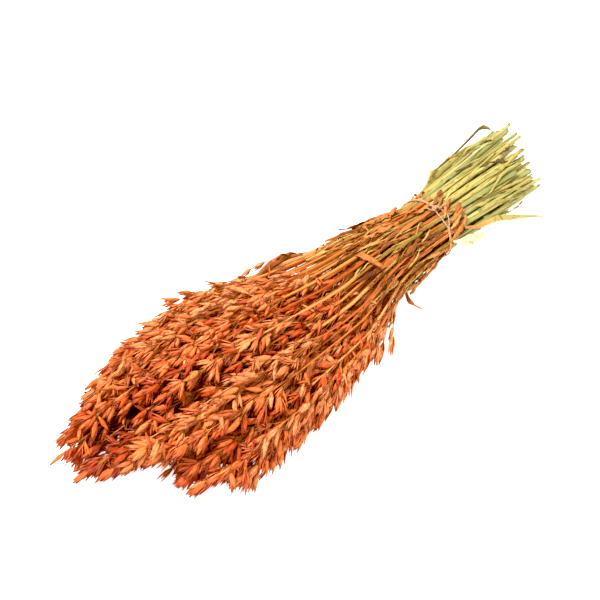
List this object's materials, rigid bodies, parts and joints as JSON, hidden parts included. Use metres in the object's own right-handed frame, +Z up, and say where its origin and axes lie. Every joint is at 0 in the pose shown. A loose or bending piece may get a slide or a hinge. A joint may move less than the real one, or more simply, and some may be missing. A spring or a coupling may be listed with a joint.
{
  "type": "dried oats bundle",
  "caption": "dried oat stalks tied with twine and lying down: pale green cut straws at one end, a dense head of rust-orange spikelets at the other",
  "frame": {"origin": "middle of the underside's bounding rectangle, on the surface that the bundle lies on", "axes": "+X along the bundle to the cut ends of the straws, -X to the tips of the panicles, +Z up, +Y across"},
  "size_m": [0.72, 0.2228, 0.1123],
  "materials": {
    "dried_oat": "matt, dry and papery",
    "twine": "matt twisted fibre"
  },
  "bodies": {
    "root": {"stalks_01": "dried_oat", "stalks_02": "dried_oat", "stalks_03": "dried_oat", "stalks_04": "dried_oat", "stalks_05": "dried_oat", "stalks_06": "dried_oat", "stalks_07": "dried_oat", "stalks_08": "dried_oat", "stalks_09": "dried_oat", "stalks_10": "dried_oat", "stalks_11": "dried_oat", "stalks_12": "dried_oat", "stalks_13": "dried_oat", "stalks_14": "dried_oat", "stalks_15": "dried_oat", "stalks_16": "dried_oat", "stalks_17": "dried_oat", "stalks_18": "dried_oat", "stalks_19": "dried_oat", "stalks_20": "dried_oat", "stalks_21": "dried_oat", "stalks_22": "dried_oat", "stalks_23": "dried_oat", "stalks_24": "dried_oat", "stalks_25": "dried_oat", "stalks_26": "dried_oat", "stalks_27": "dried_oat", "stalks_28": "dried_oat", "stalks_29": "dried_oat", "stalks_30": "dried_oat", "stalks_31": "dried_oat", "stalks_32": "dried_oat", "stalks_33": "dried_oat", "stalks_34": "dried_oat", "stalks_35": "dried_oat", "stalks_36": "dried_oat", "stalks_37": "dried_oat", "stalks_38": "dried_oat", "stalks_39": "dried_oat", "stalks_40": "dried_oat", "stalks_41": "dried_oat", "stalks_42": "dried_oat", "stalks_43": "dried_oat", "stalks_44": "dried_oat", "stalks_45": "dried_oat", "stalks_46": "dried_oat", "stalks_47": "dried_oat", "stalks_48": "dried_oat", "stalks_49": "dried_oat", "stalks_50": "dried_oat", "stalks_51": "dried_oat", "stalks_52": "dried_oat", "tie": "twine"}
  },
  "joints": []
}
